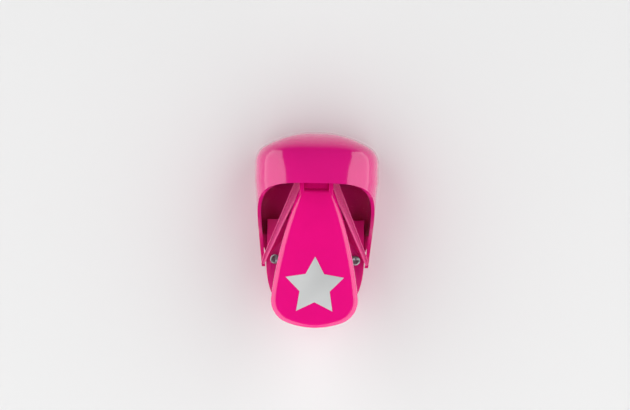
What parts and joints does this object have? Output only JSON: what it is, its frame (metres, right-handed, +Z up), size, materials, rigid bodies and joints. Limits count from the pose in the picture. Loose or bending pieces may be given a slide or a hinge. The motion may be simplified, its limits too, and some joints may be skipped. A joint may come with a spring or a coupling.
{
  "type": "craft punch",
  "caption": "Lever-operated star craft punch with a cowled body, thumb lever, guided punch, die and open-front paper throat.",
  "frame": {"origin": "centre of the bounding box's bottom face, on the surface that the punch stands on", "axes": "+Z up; -Y towards the thumb end of the lever, where paper goes in; +Y towards the back of the hood; +X to the right seen from above with the back up"},
  "size_m": [0.0638, 0.0986, 0.06],
  "materials": {
    "hood_plastic": "glossy moulded",
    "lever_plastic": "smooth moulded",
    "base_plastic": "smooth moulded",
    "zinc_alloy": "die-cast, satin",
    "die_steel": "ground",
    "bracket_steel": "zinc plated",
    "pin_steel": "ground and polished",
    "spring_steel": "drawn wire",
    "screw_steel": "nickel plated",
    "stop_rubber": "matte",
    "saddle_nylon": "natural nylon",
    "bushing_brass": "turned",
    "label_silver": "satin silver foil"
  },
  "bodies": {
    "body": {"base_shell": "base_plastic", "base_cover": "base_plastic", "cover_screws": "screw_steel", "die_plate": "die_steel", "die_mount_screws": "screw_steel", "throat_spacer": "die_steel", "guide_block": "zinc_alloy", "die_frame_screws": "screw_steel", "guide_posts": "pin_steel", "return_springs": "spring_steel", "die_cover": "base_plastic", "die_cover_screws": "screw_steel", "hood": "hood_plastic", "hood_screws": "screw_steel", "pivot_bracket": "bracket_steel", "bracket_screws": "screw_steel", "lever_stop_pads": "stop_rubber", "pivot_pin": "pin_steel", "pin_clips": "spring_steel"},
    "lever": {"lever_shell": "lever_plastic", "lever_stiffener": "bracket_steel", "lever_screws": "screw_steel", "press_saddle": "saddle_nylon", "lever_bushings": "bushing_brass", "star_label": "label_silver"},
    "punch": {"punch": "zinc_alloy", "wear_plate": "die_steel", "plate_screws": "screw_steel"}
  },
  "joints": [
    {"name": "lever_hinge", "type": "hinge", "parent": "body", "child": "lever", "pos_m": [0, 0.03, 0.036], "axis": [1, 0, 0], "range_deg": [0, 7.16], "stiffness_Nm_per_rad": 0.15, "springref_deg": -4.58},
    {"name": "punch_slide", "type": "slide", "parent": "body", "child": "punch", "axis": [0, 0, -1], "range_m": [0, 0.007], "stiffness_N_per_m": 20, "springref_m": -0.025, "deforming": ["return_springs"]}
  ],
  "couplings": [
    {"joint": "lever_hinge", "follows": "punch_slide", "rad_per_m": 17.85}
  ]
}
